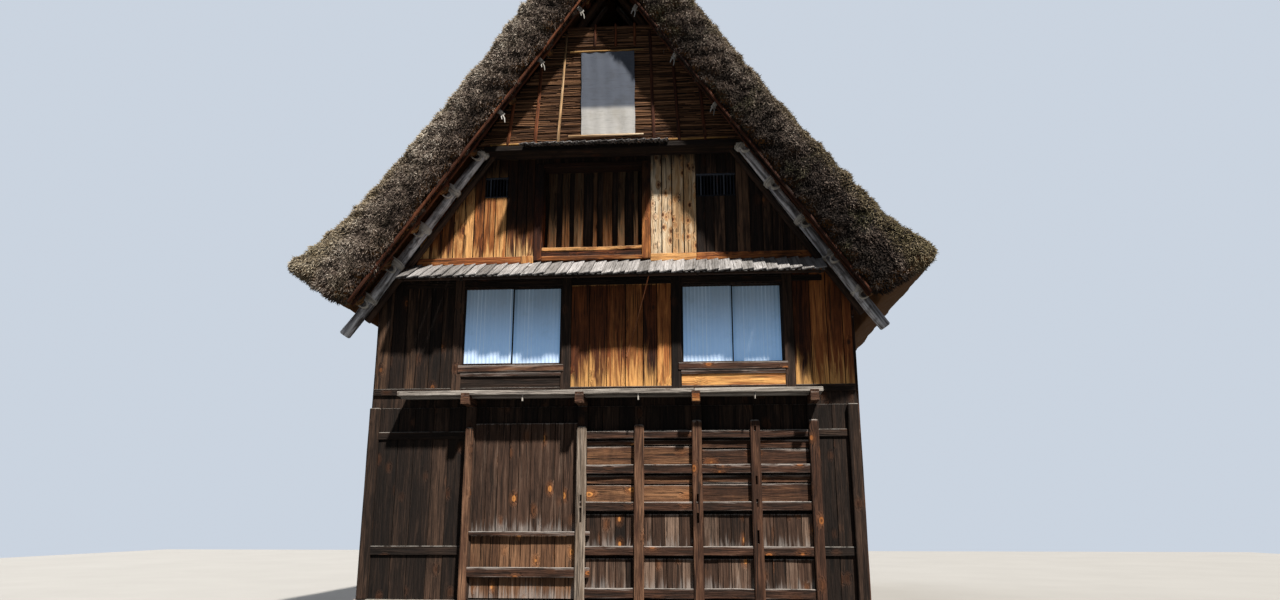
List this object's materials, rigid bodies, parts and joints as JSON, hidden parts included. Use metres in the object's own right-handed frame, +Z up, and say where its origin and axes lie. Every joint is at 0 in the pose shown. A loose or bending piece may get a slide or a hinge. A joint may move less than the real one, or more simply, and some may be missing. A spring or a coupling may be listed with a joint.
{
  "type": "minka farmhouse",
  "caption": "Tall timber farmhouse with a steep thatched gable roof, board walls, sliding sashes, shingled pent roofs and a reed attic gable.",
  "frame": {"origin": "centre of the house at ground level, under the middle of its overall box", "axes": "+X to the right across the front gable, +Y into the house along the ridge, +Z up"},
  "size_m": [10.434, 15.906, 12.4105],
  "materials": {
    "stone": "rough field stone",
    "dark_timber": "smoke-darkened old boards",
    "brown_timber": "weathered brown posts and rails",
    "sunlit_boards": "orange-brown cedar boards",
    "grey_timber": "silver-grey weathered boards and shingles",
    "pale_pole": "peeled poles",
    "sash_sheet": "white corrugated sheet in dark wooden sashes",
    "thatch": "grey weathered thatch",
    "reed": "brown laid reed bundles",
    "ridge_straw": "laid straw of the ridge",
    "cloth": "coarse grey-white cloth"
  },
  "bodies": {
    "root": {"foundation_stones": "stone", "sill_frame": "dark_timber", "ground_floor": "brown_timber", "second_floor": "dark_timber", "third_floor": "dark_timber", "attic_floor": "dark_timber", "front_wall_lower": "dark_timber", "front_wall_frame": "dark_timber", "front_lattice": "brown_timber", "rear_wall_left": "dark_timber", "rear_wall_right": "dark_timber", "rear_wall_over_door": "dark_timber", "rear_frame_left": "brown_timber", "rear_frame_right": "brown_timber", "rear_door_lintel": "brown_timber", "entrance_door_outer": "brown_timber", "entrance_door_inner": "brown_timber", "left_wall": "dark_timber", "left_wall_frame": "brown_timber", "left_window_pair": "sash_sheet", "right_wall": "dark_timber", "right_wall_frame": "brown_timber", "right_window_pair": "sash_sheet", "front_ledge": "grey_timber", "front_wall_windows": "sunlit_boards", "front_window_frame": "dark_timber", "front_sash_1": "sash_sheet", "front_sash_2": "sash_sheet", "front_sash_3": "sash_sheet", "front_sash_4": "sash_sheet", "front_lower_pent": "grey_timber", "front_wall_third": "sunlit_boards", "front_recess_frame": "brown_timber", "front_slat_panel": "dark_timber", "front_upper_pent": "grey_timber", "front_attic_wall": "reed", "rear_ledge": "grey_timber", "rear_wall_windows": "sunlit_boards", "rear_window_frame": "dark_timber", "rear_window_left": "sash_sheet", "rear_window_right": "sash_sheet", "rear_lower_pent": "grey_timber", "rear_wall_third": "sunlit_boards", "rear_recess_frame": "brown_timber", "rear_slat_panel": "dark_timber", "rear_upper_pent": "grey_timber", "rear_attic_wall": "reed", "cloth_rod_top": "pale_pole", "cloth_rod_bottom": "pale_pole", "hanging_cloth": "cloth", "roof_frame_left": "pale_pole", "roof_frame_right": "pale_pole", "thatch_left": "thatch", "thatch_right": "thatch", "ridge_cap": "ridge_straw", "ridge_pole": "grey_timber", "ridge_logs_left": "grey_timber", "ridge_logs_right": "grey_timber"}
  },
  "joints": []
}
